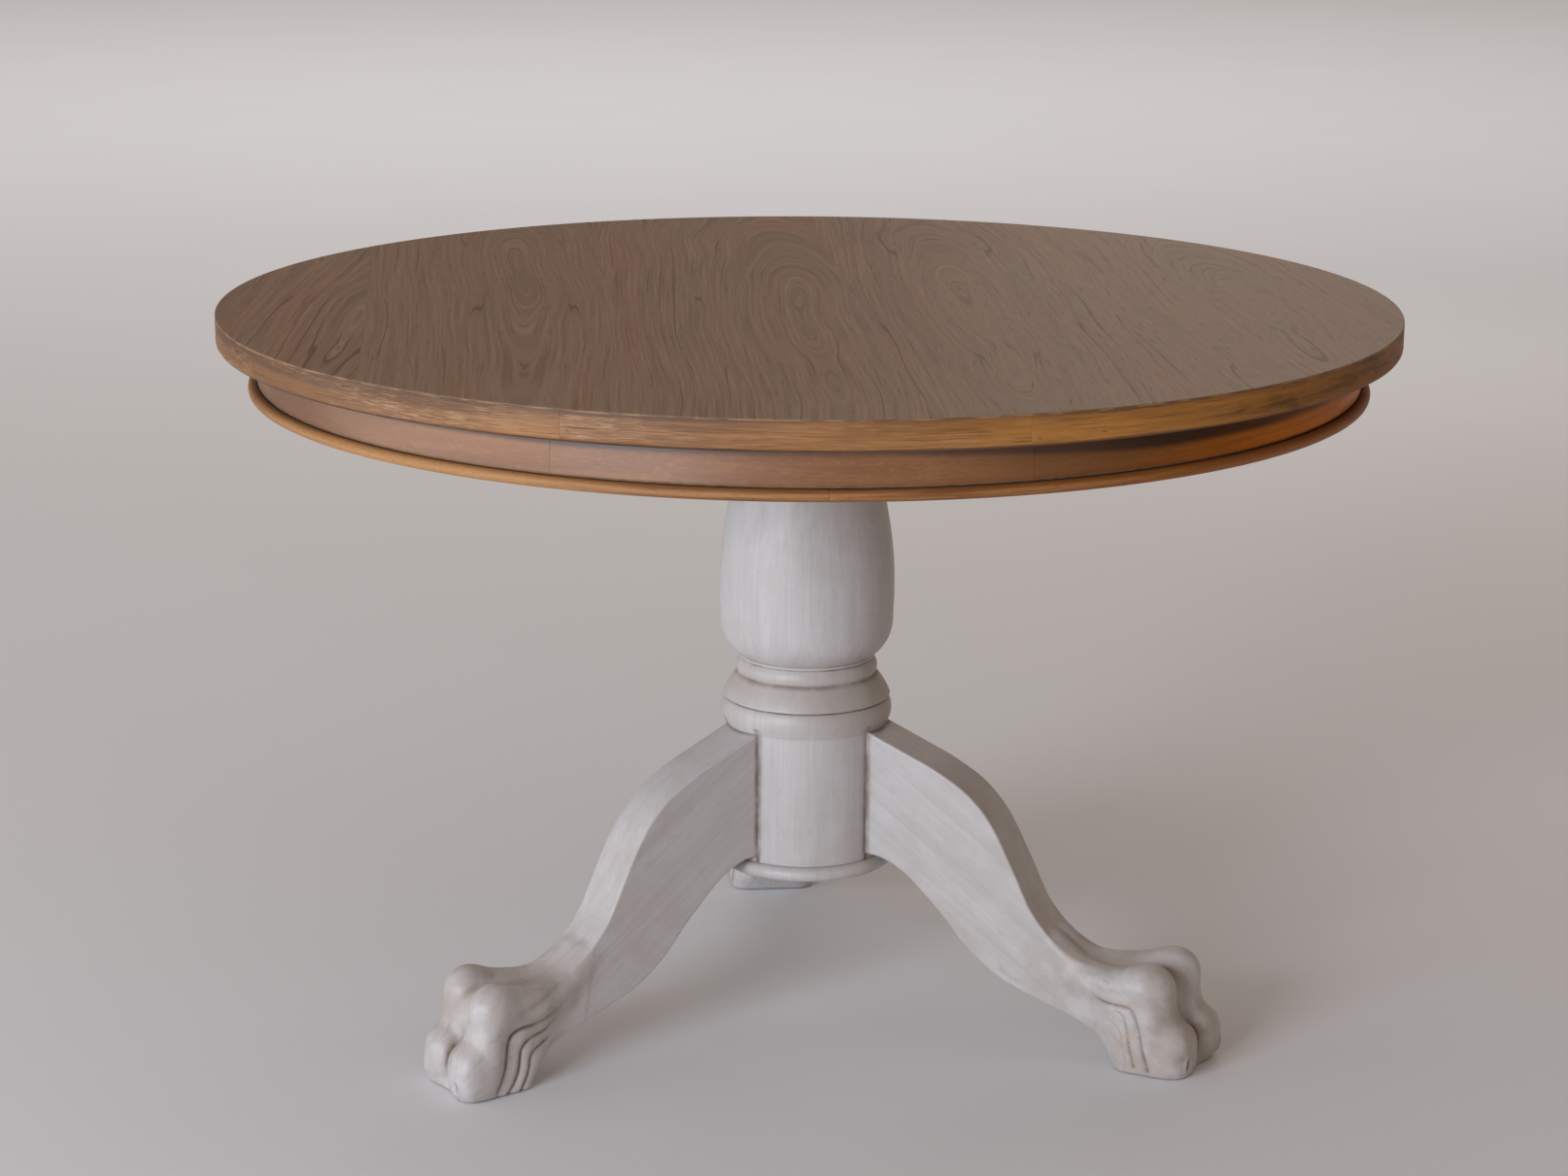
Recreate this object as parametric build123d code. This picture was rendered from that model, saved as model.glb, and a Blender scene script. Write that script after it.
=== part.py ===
from build123d import *
import os
from math import asin, cos, radians, sin, sqrt

os.makedirs("parts", exist_ok=True)

# A round pedestal table. Millimetres, +Z up, origin on the floor under the column's axis, front towards -Y.
# An azimuth is measured in plan from the front (-Y) towards the right (+X).

# ---- Driving sizes -----------------------------------------------------------------------------------------

# Whole table
table_height = 760.0
top_radius = 600.0
fit_gap = 0.1  # glue line or easy fit between pieces that are let into each other

# Top: veneer leaves on a core with a segmented lipping
leaf_thickness = 2.0
leaf_width = 250.0
leaf_count = 5
first_leaf_width = 150.0  # the leftmost leaf's, from the top's edge to its joint
core_thickness = 28.0
rim_width = 40.0
rim_count = 9
rim_first_joint = -27.0  # azimuth
rim_lower_round = 5.0

# Apron and bead under the top
top_overhang = 40.0  # past the apron's face
apron_thickness = 24.0
apron_height = 40.0
apron_count = 8
apron_first_joint = -30.0  # azimuth
apron_bevel = 2.0
bead_height = 11.0
bead_proud = 9.5  # past the apron's face
bead_count = 6
bead_first_joint = -4.0  # azimuth

# Blocks behind the apron's joints
block_width = 60.0
block_depth = 30.0
block_height = 38.0

# Bearers and mounting plate
bearer_width = 60.0
bearer_height = 22.0
bearer_offset = 130.0  # from the axis to a bearer's centre line
bearer_end_gap = 6.0  # to the apron
plate_side = 330.0
plate_thickness = 28.0
plate_bevel = 14.0

# Column
column_foot = 180.0  # height of the drum's lower end
drum_radius = 86.0
drum_height = 139.0
lower_bead_radius = 89.5
lower_bead_height = 25.0
quirk_depth = 2.5
quirk_height = 2.0
ovolo_radius = 89.0
ovolo_lip = 1.0
ovolo_height = 24.5
ring_radius = 74.0
ring_lip = 1.5
ring_height = 17.0
neck_radius = 69.0
fillet_radius = 71.5
fillet_height = 3.5
vase_turn_radius = 84.8  # the vase's heights are above its lower end
vase_turn_height = 15.0
vase_corner_radius = 90.0
vase_corner_height = 40.0
vase_belly_radius = 91.2
vase_belly_height = 73.0
vase_shoulder_radius = 83.0
vase_shoulder_height = 154.0
vase_neck_radius = 57.0
vase_neck_rise = 22.0  # height of the hollow under the collar
vase_neck_flare = 5.0  # how far the hollow widens downwards
vase_swell = 2.5  # how far the vase bulges between shoulder and hollow
collar_radius = 66.0
collar_round = 2.0
collar_height = 14.0
cap_radius = 75.0
cap_height = 18.0

# Base disc
disc_radius = 94.0
disc_thickness = 15.0

# Legs
leg_azimuths = {"left": -60.0, "right": 60.0, "rear": 180.0}
leg_thickness = 56.0
leg_root_clearance = 6.0  # from the base disc up to a leg's underside at the drum
leg_root_overlap = 8.0  # how far the board runs under its coped shoulder
# Edges of the sawn board as (reach, height): the upper one from the shoulder out to the ankle, the lower back
leg_upper_edge = [(158, 288), (212, 250), (246, 192), (281, 133), (345, 98)]
leg_lower_edge = [(345, 30), (299, 48), (238, 71), (200, 98), (166, 134), (127, 171)]
tenon_depth = 26.0
tenon_neck = 22.0
tenon_tail = 32.0

# Lion paw
toe_offset = 28.0  # from the leg's centre plane to a toe's
toe_half_width = 27.6
toe_levels = [  # (height, reach of the front, reach of the back, share of the full width)
    (0, 449, 358, 0.89),  # sole
    (18, 452, 358, 1.0),  # tip
    (42, 445, 358, 0.96),
    (68, 427, 358, 0.89),  # waist
    (92, 428, 362, 0.96),  # knuckle
    (106, 421, 370, 0.78),
    (114, 406, 382, 0.35),  # top of the knuckle
]
heel_roundness = 0.45  # corner radius over the section's smaller side
heel_sections = [  # (reach, lower edge, upper edge, half width)
    (296, 50, 119, 27),
    (330, 30, 104, 34),
    (362, -8, 106, 46),
    (392, -8, 109, 49),
    (424, -8, 66, 44),
]

# Glides under the paws
glide_radius = 16.0
glide_thickness = 6.0
glide_proud = 1.5
glide_setback = 40.0  # from the toes' tips in to a glide's centre

# Tie rod with its nuts and washers
rod_radius = 6.0
rod_bore_radius = 7.0
rod_end = 3.0  # thread past a nut
nut_across_flats = 19.0
nut_thickness = 10.0
washer_radius = 18.0
washer_thickness = 3.0

# Wood screws
screw_radius = 2.5
screw_head_radius = 5.0
screw_head_depth = 3.0
bite_in_core = 16.0
bite_in_bearer = 15.0
plate_screws_per_bearer = 2
plate_screw_pitch = 220.0
bearer_screws_per_bearer = 3
bearer_screw_end = 66.0  # from a bearer's end to its outer screws

# ---- Heights and reaches that follow -------------------------------------------------------------------

leaf_bottom = table_height - leaf_thickness
core_bottom = leaf_bottom - core_thickness
apron_bottom = core_bottom - apron_height
bead_bottom = apron_bottom - bead_height
bearer_bottom = core_bottom - bearer_height
plate_bottom = bearer_bottom - plate_thickness
column_top = plate_bottom
drum_top = column_foot + drum_height
disc_bottom = column_foot - disc_thickness
leg_root_height = column_foot + leg_root_clearance
leaf_first_joint = -top_radius + first_leaf_width  # X of the leftmost joint
apron_radius = top_radius - top_overhang
apron_inner_radius = apron_radius - apron_thickness
bead_radius = apron_radius + bead_proud
block_bottom = core_bottom - block_height
core_radius = top_radius - rim_width
bearer_edge = bearer_offset + bearer_width / 2
bearer_half_length = sqrt(apron_inner_radius**2 - bearer_edge**2) - bearer_end_gap
bearer_screw_pitch = bearer_half_length - bearer_screw_end
glide_reach = max(front for height, front, back, share in toe_levels) - glide_setback
under_frame_turn = apron_first_joint + 360 / apron_count * 2.5 - 90  # bearers end between two corner blocks


# ---- Helpers ---------------------------------------------------------------------------------------------

def turn(shape, azimuth):
    """Turns a shape made at azimuth 90 (along +X) to another azimuth."""
    return shape.rotate(Axis.Z, azimuth - 90)


def at_azimuth(radius, azimuth, height=0.0):
    """A point at a distance from the axis."""
    return (radius * sin(radians(azimuth)), -radius * cos(radians(azimuth)), height)


def under_frame_point(along, across, height):
    """A point given along and across the bearers."""
    return tuple(Vector(along, across, height).rotate(Axis.Z, under_frame_turn))


def rows_under_bearers(count, pitch, height):
    """Evenly spaced points under both bearers."""
    along = [(k - (count - 1) / 2) * pitch for k in range(count)]
    return [under_frame_point(x, side * bearer_offset, height) for side in (-1, 1) for x in along]


def cylinder(radius, low, high):
    """A cylinder on the table's axis between two heights."""
    return Pos(0, 0, low) * Cylinder(radius, high - low, align=(Align.CENTER, Align.CENTER, Align.MIN))


def box(length, width, low, high):
    """A box centred on the table's axis between two heights."""
    return Pos(0, 0, low) * Box(length, width, high - low, align=(Align.CENTER, Align.CENTER, Align.MIN))


def ring_segment(section, count, first_joint, index):
    """One of a ring of equal blocks: a section in the XZ plane turned through its share of the circle."""
    step = 360 / count
    solid = revolve(section, axis=Axis.Z, revolution_arc=step)
    return turn(solid, first_joint + index * step)


def screw_shape(length, clearance):
    """A countersunk screw pointing up from the origin, or its hole when a clearance is given."""
    shank = screw_radius + clearance
    head = screw_head_radius + clearance
    with BuildSketch(Plane.XZ) as profile:
        with BuildLine():
            Polyline(
                (0, 0),
                (head, 0),
                (shank, screw_head_depth),
                (shank, length + clearance),
                (0, length + clearance),
                close=True,
            )
        make_face()
    return revolve(profile.sketch, axis=Axis.Z)


def screws(places, length, clearance=0.0):
    """A screw, or a screw hole, at each place."""
    one = screw_shape(length, clearance)
    return [Pos(*place) * one for place in places]


def write(node, shape):
    """Writes one node's solids."""
    if isinstance(shape, list):
        shape = Compound(children=shape)
    export_step(shape, f"parts/{node}.step")


# ---- Screw places ----------------------------------------------------------------------------------------

block_azimuths = [apron_first_joint + k * 360 / apron_count for k in range(apron_count)]
block_screw_radius = apron_inner_radius - block_depth / 2
block_screw_places = [at_azimuth(block_screw_radius, a, block_bottom) for a in block_azimuths]
block_screw_length = block_height + bite_in_core

bearer_screw_points = rows_under_bearers(bearer_screws_per_bearer, bearer_screw_pitch, bearer_bottom)
bearer_screw_length = bearer_height + bite_in_core

plate_screw_points = rows_under_bearers(plate_screws_per_bearer, plate_screw_pitch, plate_bottom)
plate_screw_length = plate_thickness + bite_in_bearer


# ---- Top -------------------------------------------------------------------------------------------------

def make_leaf(index):
    """One veneer leaf: a strip of the top's disc, with the grain along Y."""
    low = -top_radius if index == 0 else leaf_first_joint + (index - 1) * leaf_width
    high = top_radius if index == leaf_count - 1 else leaf_first_joint + index * leaf_width
    plan = Circle(top_radius) & Pos((low + high) / 2, 0) * Rectangle(high - low, 2 * top_radius)
    return Pos(0, 0, leaf_bottom) * extrude(plan, leaf_thickness)


def make_core():
    """The board that carries the leaves and the lipping."""
    core = cylinder(core_radius, core_bottom, leaf_bottom)
    core -= screws(block_screw_places, block_screw_length, fit_gap)
    core -= screws(bearer_screw_points, bearer_screw_length, fit_gap)
    return core


def make_rim_segment(index):
    """One lipping block, with its lower edge rounded."""
    with BuildSketch(Plane.XZ) as section:
        with Locations(((core_radius + top_radius) / 2, (core_bottom + leaf_bottom) / 2)):
            Rectangle(rim_width, core_thickness)
        fillet(section.vertices().sort_by(Axis.Z)[:2].sort_by(Axis.X)[-1], rim_lower_round)
    return ring_segment(section.sketch, rim_count, rim_first_joint, index)


# ---- Apron -----------------------------------------------------------------------------------------------

def make_apron_segment(index):
    """One curved apron block, with a bevel along its lower edge."""
    with BuildSketch(Plane.XZ) as section:
        with Locations(((apron_inner_radius + apron_radius) / 2, (apron_bottom + core_bottom) / 2)):
            Rectangle(apron_thickness, apron_height)
        chamfer(section.vertices().sort_by(Axis.Z)[:2].sort_by(Axis.X)[-1], apron_bevel)
    return ring_segment(section.sketch, apron_count, apron_first_joint, index)


def make_bead_strip(index):
    """One length of the moulding under the apron, with a half-round nose."""
    nose = bead_height / 2
    with BuildSketch(Plane.XZ) as section:
        with BuildLine():
            under = Polyline(
                (bead_radius - nose, apron_bottom),
                (apron_inner_radius, apron_bottom),
                (apron_inner_radius, bead_bottom),
                (bead_radius - nose, bead_bottom),
            )
            ThreePointArc(under @ 1, (bead_radius, bead_bottom + nose), under @ 0)
        make_face()
    return ring_segment(section.sketch, bead_count, bead_first_joint, index)


def make_apron_block(index):
    """One corner block, shaped to the apron's inner face."""
    outer = apron_inner_radius - fit_gap
    length = block_depth + outer * (1 - cos(asin(block_width / 2 / outer)))
    block = Pos(outer - length / 2, 0, 0) * box(length, block_width, block_bottom, core_bottom)
    block &= cylinder(outer, block_bottom, core_bottom)
    block = turn(block, block_azimuths[index])
    block -= screws([block_screw_places[index]], block_screw_length, fit_gap)
    return block


# ---- Bearers and mounting plate ----------------------------------------------------------------------------

def make_bearer(side):
    """One batten under the core, square at both ends."""
    bearer = box(2 * bearer_half_length, bearer_width, bearer_bottom, core_bottom)
    bearer = (Pos(0, side * bearer_offset, 0) * bearer).rotate(Axis.Z, under_frame_turn)
    bearer -= screws(bearer_screw_points, bearer_screw_length, fit_gap)
    bearer -= screws(plate_screw_points, plate_screw_length, fit_gap)
    return bearer


def make_mounting_plate():
    """The square plate between column and bearers, bevelled round its underside."""
    plate = box(plate_side, plate_side, plate_bottom, bearer_bottom)
    plate = chamfer(plate.faces().sort_by(Axis.Z)[0].edges(), plate_bevel)
    plate = plate.rotate(Axis.Z, under_frame_turn)
    plate -= cylinder(rod_bore_radius, plate_bottom, bearer_bottom)
    plate -= screws(plate_screw_points, plate_screw_length, fit_gap)
    return plate


# ---- Column ----------------------------------------------------------------------------------------------

def tenon_outline(clearance):
    """Plan of a leg's dovetail tenon, or of its slot when a clearance is given, along +X."""
    inner = drum_radius - tenon_depth - clearance
    outer = drum_radius + 1
    neck = tenon_neck / 2 + clearance
    tail = tenon_tail / 2 + clearance
    flare = (tail - neck) / tenon_depth
    mouth = neck - flare * (outer - drum_radius)
    with BuildSketch(Plane.XY) as plan:
        with BuildLine():
            Polyline((inner, -tail), (outer, -mouth), (outer, mouth), (inner, tail), close=True)
        make_face()
    return plan.sketch


def column_profile():
    """Half section of the turned column, from the drum up to the cap."""
    bead_top = drum_top + lower_bead_height
    ovolo_bottom = bead_top + quirk_height
    ovolo_top = ovolo_bottom + ovolo_height
    ring_top = ovolo_top + ring_height
    vase_bottom = ring_top + fillet_height
    cap_bottom = column_top - cap_height
    collar_bottom = cap_bottom - collar_height
    quirk_radius = drum_radius - quirk_depth
    shoulder = Vector(vase_shoulder_radius, vase_bottom + vase_shoulder_height)
    hollow = Vector(vase_neck_radius + vase_neck_flare, collar_bottom - vase_neck_rise)
    with BuildSketch(Plane.XZ) as section:
        with BuildLine():
            Polyline((0, column_foot), (drum_radius, column_foot), (drum_radius, drum_top))
            ThreePointArc(
                (drum_radius, drum_top),
                (lower_bead_radius, drum_top + lower_bead_height / 2),
                (quirk_radius + quirk_depth, bead_top),
            )
            Polyline(
                (quirk_radius + quirk_depth, bead_top),
                (quirk_radius, bead_top),
                (quirk_radius, ovolo_bottom),
                (ovolo_radius - ovolo_lip, ovolo_bottom),
            )
            ThreePointArc(
                (ovolo_radius - ovolo_lip, ovolo_bottom),
                ((ovolo_radius * 0.62 + ring_radius * 0.38), ovolo_bottom + ovolo_height * 0.42),
                (ring_radius - ring_lip, ovolo_top),
            )
            ThreePointArc(
                (ring_radius - ring_lip, ovolo_top),
                (ring_radius, ovolo_top + ring_height * 0.35),
                (neck_radius, ring_top),
            )
            Polyline((neck_radius, ring_top), (fillet_radius, ring_top), (fillet_radius, vase_bottom))
            ThreePointArc(
                (fillet_radius, vase_bottom),
                (vase_turn_radius, vase_bottom + vase_turn_height),
                (vase_corner_radius, vase_bottom + vase_corner_height),
            )
            ThreePointArc(
                (vase_corner_radius, vase_bottom + vase_corner_height),
                (vase_belly_radius, vase_bottom + vase_belly_height),
                shoulder,
            )
            ThreePointArc(shoulder, ((shoulder + hollow) / 2 + Vector(vase_swell, 0)), hollow)
            ThreePointArc(
                hollow,
                (vase_neck_radius + vase_neck_flare / 4, collar_bottom - vase_neck_rise / 2),
                (vase_neck_radius, collar_bottom),
            )
            Line((vase_neck_radius, collar_bottom), (collar_radius - collar_round, collar_bottom))
            ThreePointArc(
                (collar_radius - collar_round, collar_bottom),
                (collar_radius, collar_bottom + collar_height / 2),
                (collar_radius - collar_round, cap_bottom),
            )
            Polyline(
                (collar_radius - collar_round, cap_bottom),
                (cap_radius, cap_bottom),
                (cap_radius, column_top),
                (0, column_top),
                (0, column_foot),
            )
        make_face()
    return section.sketch


def make_column():
    """The turned column, bored for the rod and slotted for the three legs."""
    column = revolve(column_profile(), axis=Axis.Z)
    column -= cylinder(rod_bore_radius, column_foot, column_top)
    slot = Pos(0, 0, column_foot) * extrude(tenon_outline(fit_gap), drum_height)
    for azimuth in leg_azimuths.values():
        column -= turn(slot, azimuth)
    return column


def make_base_disc():
    """The disc under the column, with a rounded edge."""
    nose = disc_thickness / 2
    with BuildSketch(Plane.XZ) as section:
        with BuildLine():
            flat = Polyline(
                (disc_radius - nose, column_foot),
                (rod_bore_radius, column_foot),
                (rod_bore_radius, disc_bottom),
                (disc_radius - nose, disc_bottom),
            )
            ThreePointArc(flat @ 1, (disc_radius, disc_bottom + nose), flat @ 0)
        make_face()
    return revolve(section.sketch, axis=Axis.Z)


# ---- Legs ------------------------------------------------------------------------------------------------

def leg_outline():
    """Side view of the sawn board in the XZ plane: out along the upper edge to the ankle and back below."""
    root = drum_radius - leg_root_overlap
    with BuildSketch(Plane.XZ) as side:
        with BuildLine():
            Line((root, drum_top), leg_upper_edge[0])
            Spline(*leg_upper_edge, tangents=((1, -0.42), (1, -0.2)))
            Line(leg_upper_edge[-1], leg_lower_edge[0])
            Spline(*leg_lower_edge, (drum_radius, leg_root_height), tangents=((-1, 0.4), (-1, 0.12)))
            Polyline((drum_radius, leg_root_height), (root, leg_root_height), (root, drum_top))
        make_face()
    return side.sketch


def heel_section(reach, low, high, half_width):
    """A rounded upright section across the paw."""
    plane = Plane(origin=(reach, 0, (low + high) / 2), x_dir=(0, 1, 0), z_dir=(1, 0, 0))
    corner = heel_roundness * min(2 * half_width, high - low)
    return plane * RectangleRounded(2 * half_width, high - low, corner)


def toe_section(height, front, back, share):
    """A level section through one toe, round at both ends."""
    width = 2 * toe_half_width * share
    return Pos((front + back) / 2, 0, height) * SlotOverall(front - back, width)


def make_board():
    """The sawn board, coped to the drum, and its dovetail tenon."""
    board = extrude(leg_outline(), leg_thickness / 2, both=True)
    board -= cylinder(drum_radius + fit_gap, 0, drum_top + 1)
    tenon_length = drum_top - fit_gap - leg_root_height
    return board + Pos(0, 0, leg_root_height) * extrude(tenon_outline(0), tenon_length)


def make_leg(azimuth):
    """One leg: sawn board and carved two-toed paw in one piece of wood, recessed for its glide."""
    leg = make_board() + loft([heel_section(*values) for values in heel_sections])
    toe = loft([toe_section(*values) for values in toe_levels])
    for side in (-1, 1):
        leg += Pos(0, side * toe_offset, 0) * toe
    leg -= box(4 * glide_reach, 4 * glide_reach, -table_height, glide_proud)
    leg -= Pos(glide_reach, 0, 0) * cylinder(glide_radius + fit_gap, glide_proud, glide_thickness + fit_gap)
    return turn(leg, azimuth)


def make_glide(azimuth):
    """A nylon glide, let into the sole of a paw."""
    glide = cylinder(glide_radius, 0, glide_thickness)
    glide = chamfer(glide.edges().group_by(Axis.Z)[0], glide_proud / 2)
    return turn(Pos(glide_reach, 0, 0) * glide, azimuth)


# ---- Metal parts -----------------------------------------------------------------------------------------

rod_top = bearer_bottom + washer_thickness + nut_thickness + rod_end
rod_bottom = disc_bottom - washer_thickness - nut_thickness - rod_end


def make_nuts():
    """The rod's two hexagon nuts."""
    hexagon = RegularPolygon(nut_across_flats / 2, 6, major_radius=False)
    nut = extrude(hexagon, nut_thickness) - cylinder(rod_radius + fit_gap, 0, nut_thickness)
    lower = disc_bottom - washer_thickness - nut_thickness
    upper = bearer_bottom + washer_thickness
    return [Pos(0, 0, height) * nut for height in (lower, upper)]


def make_washers():
    """The rod's two washers."""
    washer = cylinder(washer_radius, 0, washer_thickness) - cylinder(rod_bore_radius, 0, washer_thickness)
    return [Pos(0, 0, height) * washer for height in (disc_bottom - washer_thickness, bearer_bottom)]


# ---- Every node ------------------------------------------------------------------------------------------

for k in range(leaf_count):
    write(f"top_leaf_{k + 1}", make_leaf(k))
write("top_core", make_core())
for k in range(rim_count):
    write(f"rim_segment_{k + 1}", make_rim_segment(k))
for k in range(apron_count):
    write(f"apron_segment_{k + 1}", make_apron_segment(k))
    write(f"apron_block_{k + 1}", make_apron_block(k))
for k in range(bead_count):
    write(f"bead_strip_{k + 1}", make_bead_strip(k))
write("bearer_front", make_bearer(-1))
write("bearer_rear", make_bearer(1))
write("mounting_plate", make_mounting_plate())
write("column", make_column())
write("base_disc", make_base_disc())
for name, azimuth in leg_azimuths.items():
    write(f"leg_{name}", make_leg(azimuth))
    write(f"glide_{name}", make_glide(azimuth))
write("tie_rod", cylinder(rod_radius, rod_bottom, rod_top))
write("tie_rod_nuts", make_nuts())
write("tie_rod_washers", make_washers())
write("block_screws", screws(block_screw_places, block_screw_length))
write("bearer_screws", screws(bearer_screw_points, bearer_screw_length))
write("plate_screws", screws(plate_screw_points, plate_screw_length))
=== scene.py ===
"""Looks for a round pedestal table: veneered top, banded apron, painted column, three lion-paw legs."""

import math

import bmesh
import bpy
import numpy as np
from mathutils import Matrix, Vector


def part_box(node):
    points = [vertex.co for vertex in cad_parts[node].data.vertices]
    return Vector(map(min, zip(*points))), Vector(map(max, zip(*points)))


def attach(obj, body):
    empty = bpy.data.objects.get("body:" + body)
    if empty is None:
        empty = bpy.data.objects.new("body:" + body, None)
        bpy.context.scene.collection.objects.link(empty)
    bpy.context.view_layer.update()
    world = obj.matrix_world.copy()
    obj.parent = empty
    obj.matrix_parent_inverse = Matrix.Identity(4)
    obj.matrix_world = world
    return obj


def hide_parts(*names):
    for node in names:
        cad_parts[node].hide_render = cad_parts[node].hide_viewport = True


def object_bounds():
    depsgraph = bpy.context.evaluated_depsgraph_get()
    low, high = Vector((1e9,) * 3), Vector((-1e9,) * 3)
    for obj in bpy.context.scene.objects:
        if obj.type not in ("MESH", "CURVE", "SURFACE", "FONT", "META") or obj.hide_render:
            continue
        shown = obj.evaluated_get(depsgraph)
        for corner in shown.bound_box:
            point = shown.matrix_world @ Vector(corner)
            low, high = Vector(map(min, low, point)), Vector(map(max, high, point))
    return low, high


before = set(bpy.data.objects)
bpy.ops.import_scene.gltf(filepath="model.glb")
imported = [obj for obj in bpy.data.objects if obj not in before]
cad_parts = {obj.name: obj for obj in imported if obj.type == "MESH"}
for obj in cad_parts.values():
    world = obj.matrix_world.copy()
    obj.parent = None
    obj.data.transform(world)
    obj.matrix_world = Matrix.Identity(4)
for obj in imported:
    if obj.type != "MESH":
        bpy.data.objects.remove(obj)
cad_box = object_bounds()

MM = 0.001


def height_of(node):
    """Lowest and highest level of a CAD node, in metres."""
    low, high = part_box(node)
    return low.z, high.z


# ---- Sizes that come from the frame, in metres ----

table_height = cad_box[1].z
top_radius = cad_box[1].x
rim_bottom, leaf_bottom = height_of("rim_segment_1")
apron_bottom = height_of("apron_segment_1")[0]
bead_bottom = height_of("bead_strip_1")[0]
disc_bottom, column_foot = height_of("base_disc")
column_top = height_of("column")[1]
disc_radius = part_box("base_disc")[1].x

# ---- Sizes of the visible pieces, in metres ----
# Azimuths are in degrees, from the front (-Y) towards the right (+X).

rim_inner = top_radius - 40 * MM
apron_radius = top_radius - 40 * MM
apron_inner = apron_radius - 24 * MM
bead_radius = apron_radius + 9.5 * MM
leaf_joints = [x * MM for x in (-450, -200, 50, 300)]
rim_count, rim_first_joint = 9, -27.0
apron_count, apron_first_joint = 8, -30.0
bead_count, bead_first_joint = 6, -4.0
leg_azimuths = {"left": -60.0, "right": 60.0, "rear": 180.0}

# ---- Sizes that the column and the legs share, in millimetres ----

DRUM_RADIUS = 86.0
LEG_HALF = 28.0  # half the thickness of a leg's board


# ---- Shader helper ----

class Finish:
    """A material's node tree, with short calls for the nodes that the finishes use."""

    def __init__(self, name):
        self.material = bpy.data.materials.new(name)
        self.material.use_nodes = True
        self.tree = self.material.node_tree
        self.tree.nodes.clear()

    def node(self, kind, inputs=(), **settings):
        made = self.tree.nodes.new("ShaderNode" + kind)
        for key, value in settings.items():
            setattr(made, key, value)
        for key, value in dict(inputs).items():
            self.feed(made.inputs[key], value)
        return made

    def feed(self, socket, value):
        if isinstance(value, bpy.types.NodeSocket):
            self.tree.links.new(value, socket)
        elif socket.type == "RGBA" and len(value) == 3:
            socket.default_value = (*value, 1.0)
        else:
            socket.default_value = value

    def attribute(self, name, output="Vector"):
        return self.node("Attribute", attribute_name=name).outputs[output]

    def place(self):
        return self.node("TexCoord").outputs["Object"]

    def turned(self, vector, degrees):
        made = self.node("VectorRotate", {"Vector": vector, "Angle": math.radians(degrees)})
        made.rotation_type = "Z_AXIS"
        return made.outputs[0]

    def split(self, vector):
        return self.node("SeparateXYZ", {0: vector}).outputs

    def joined(self, x, y, z):
        return self.node("CombineXYZ", {0: x, 1: y, 2: z}).outputs[0]

    def math(self, operation, a, b=0.0, c=0.0):
        return self.node("Math", {0: a, 1: b, 2: c}, operation=operation).outputs[0]

    def times(self, product, *factors):
        for factor in factors:
            product = self.math("MULTIPLY", product, factor)
        return product

    def sum(self, total, *shares):
        """A number plus some values, each given as (value, weight)."""
        for value, weight in shares:
            total = self.math("MULTIPLY_ADD", value, weight, total)
        return total

    def centred(self, value):
        """A noise that swings about nought."""
        return self.math("SUBTRACT", value, 0.5)

    def length(self, a, b):
        """The length of the vector (a, b)."""
        return self.math("SQRT", self.sum(self.times(a, a), (b, b)))

    def rise(self, value, low, high, top=1.0, foot=0.0):
        """Eases from a foot to a top while the value goes from low to high."""
        inputs = {"Value": value, "From Min": low, "From Max": high, "To Min": foot, "To Max": top}
        return self.node("MapRange", inputs, interpolation_type="SMOOTHSTEP").outputs[0]

    def scaled(self, vector, factors):
        return self.node("VectorMath", {0: vector, 1: factors}, operation="MULTIPLY").outputs[0]

    def noise(self, vector, scale, detail=2.0, roughness=0.5, distortion=0.0):
        """Noise at one scale, or at a scale for each axis."""
        if isinstance(scale, tuple):
            vector = self.scaled(vector, scale)
            scale = 1.0
        inputs = dict(Vector=vector, Scale=scale, Detail=detail, Roughness=roughness, Distortion=distortion)
        return self.node("TexNoise", inputs).outputs["Fac"]

    def dots(self, vector, scale):
        """Distance to the nearest of some scattered dots."""
        return self.node("TexVoronoi", {"Vector": vector, "Scale": scale}).outputs["Distance"]

    def mix(self, factor, a, b):
        return self.node("Mix", {0: factor, 6: a, 7: b}, data_type="RGBA").outputs[2]

    def layers(self, colour, *coats):
        """A colour with coats over it, each given as (factor, colour)."""
        for factor, coat in coats:
            colour = self.mix(factor, colour, coat)
        return colour

    def ramp(self, value, stops):
        """Grey levels between stops, each given as (position, level)."""
        made = self.node("ValToRGB", {0: value})
        elements = made.color_ramp.elements
        while len(elements) < len(stops):
            elements.new(0.5)
        for element, (position, level) in zip(elements, stops):
            element.position = position
            element.color = (level, level, level, 1.0)
        return made.outputs[0]

    def bump(self, height, distance, strength):
        inputs = {"Height": height, "Distance": distance, "Strength": strength}
        return self.node("Bump", inputs).outputs[0]

    def done(self, colour, roughness, **others):
        """Feeds a Principled shader, the output node and nothing else, and returns the material."""
        inputs = {"Base Color": colour, "Roughness": roughness}
        inputs |= {key.replace("_", " "): value for key, value in others.items()}
        shader = self.node("BsdfPrincipled", inputs)
        self.node("OutputMaterial", {"Surface": shader.outputs[0]})
        return self.material


# ---- Mesh helpers ----

def add_object(name, data):
    """Links a new object into the scene."""
    made = bpy.data.objects.new(name, data)
    bpy.context.scene.collection.objects.link(made)
    return made


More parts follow.
